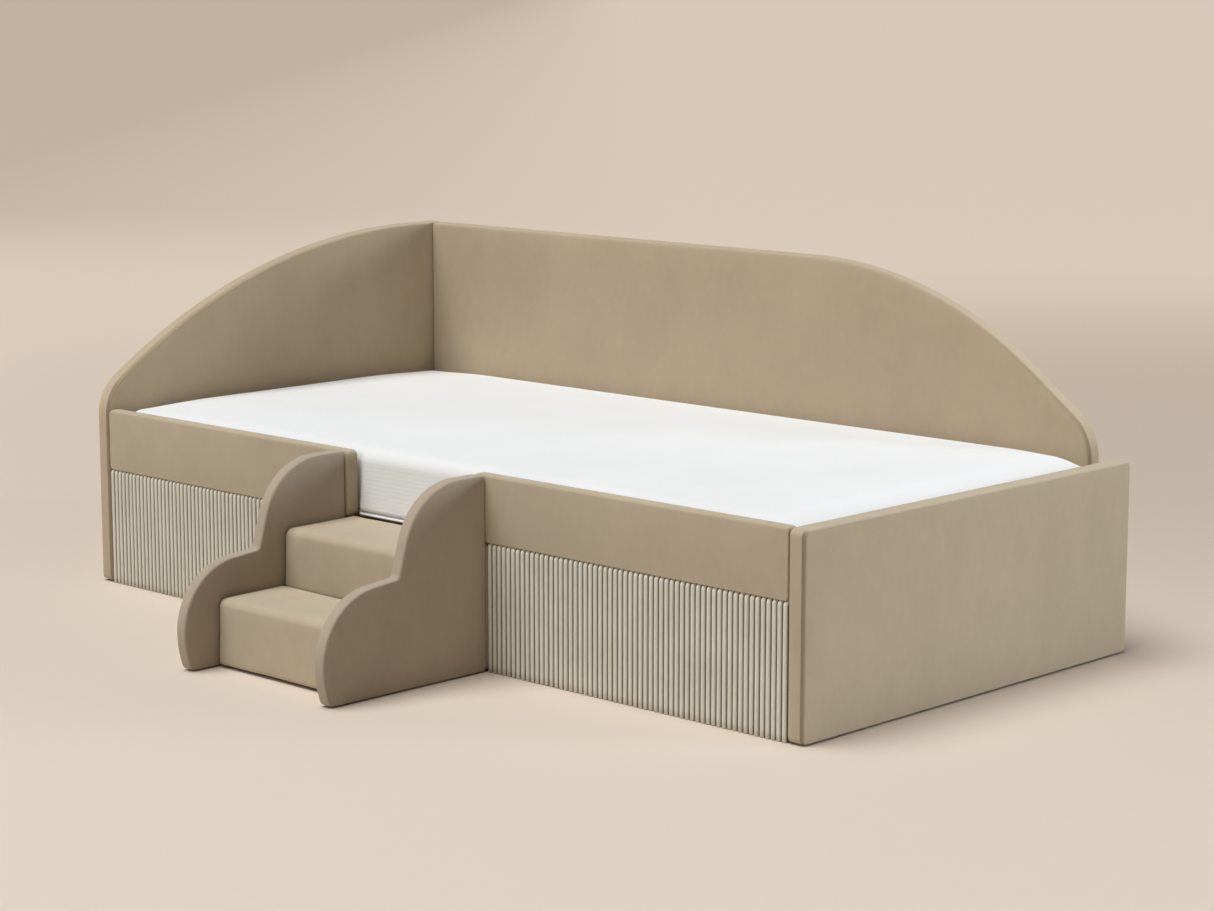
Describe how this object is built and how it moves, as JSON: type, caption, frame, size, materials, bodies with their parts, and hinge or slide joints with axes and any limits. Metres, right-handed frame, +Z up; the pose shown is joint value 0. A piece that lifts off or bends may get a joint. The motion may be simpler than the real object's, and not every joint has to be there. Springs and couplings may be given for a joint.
{
  "type": "toddler bed",
  "caption": "Upholstered corner bed for a toddler with an arched head panel, a curved back panel, fluted front panels, a mattress and a pull-away two-step stair.",
  "frame": {"origin": "on the floor, in the middle of the footprint of the bed and its stair together", "axes": "+X along the bed from the head panel to the foot panel, +Y from the stair to the wall side, +Z up"},
  "size_m": [2, 1.393, 0.725],
  "materials": {
    "velvet": "matte",
    "fluted_velvet": "matte",
    "plywood": "matte",
    "pine": "matte",
    "webbing": "matte",
    "steel": "satin",
    "zinc": "satin",
    "brass": "satin",
    "nylon": "matte",
    "foam": "matte",
    "mattress_cloth": "matte",
    "base_cloth": "matte"
  },
  "bodies": {
    "bed_frame": {"head_pad": "velvet", "back_pad": "velvet", "foot_pad": "velvet", "rail_pad_left": "velvet", "rail_pad_right": "velvet", "entry_panel": "velvet", "fluted_panel_left": "fluted_velvet", "fluted_panel_right": "fluted_velvet", "head_board": "plywood", "back_board": "plywood", "foot_board": "plywood", "front_board": "plywood", "front_ledger": "pine", "back_ledger": "pine", "slats": "pine", "centre_beam": "pine", "centre_legs": "pine", "slat_tapes": "webbing", "beam_hangers": "steel", "corner_brackets": "steel", "bracket_bolts": "zinc", "base_screws": "zinc", "threaded_inserts": "brass", "floor_glides": "nylon"},
    "mattress": {"mattress_core": "foam", "mattress_cover": "mattress_cloth", "mattress_base": "base_cloth"},
    "stair": {"stair_cheek_pad_left": "velvet", "stair_cheek_pad_right": "velvet", "lower_step_pad": "velvet", "upper_step_pad": "velvet", "stair_cheek_board_left": "plywood", "stair_cheek_board_right": "plywood", "lower_riser_board": "plywood", "lower_tread_board": "plywood", "upper_riser_board": "plywood", "upper_tread_board": "plywood", "stair_rear_board": "plywood", "stair_cleats": "pine", "cleat_screws": "zinc", "stair_glides": "nylon"}
  },
  "joints": [
    {"name": "mattress_lift", "type": "slide", "parent": "bed_frame", "child": "mattress", "axis": [0, 0, 1], "range_m": [0, 0.25]},
    {"name": "stair_pull", "type": "slide", "parent": "bed_frame", "child": "stair", "axis": [0, -1, 0], "range_m": [0, 0.4]}
  ]
}
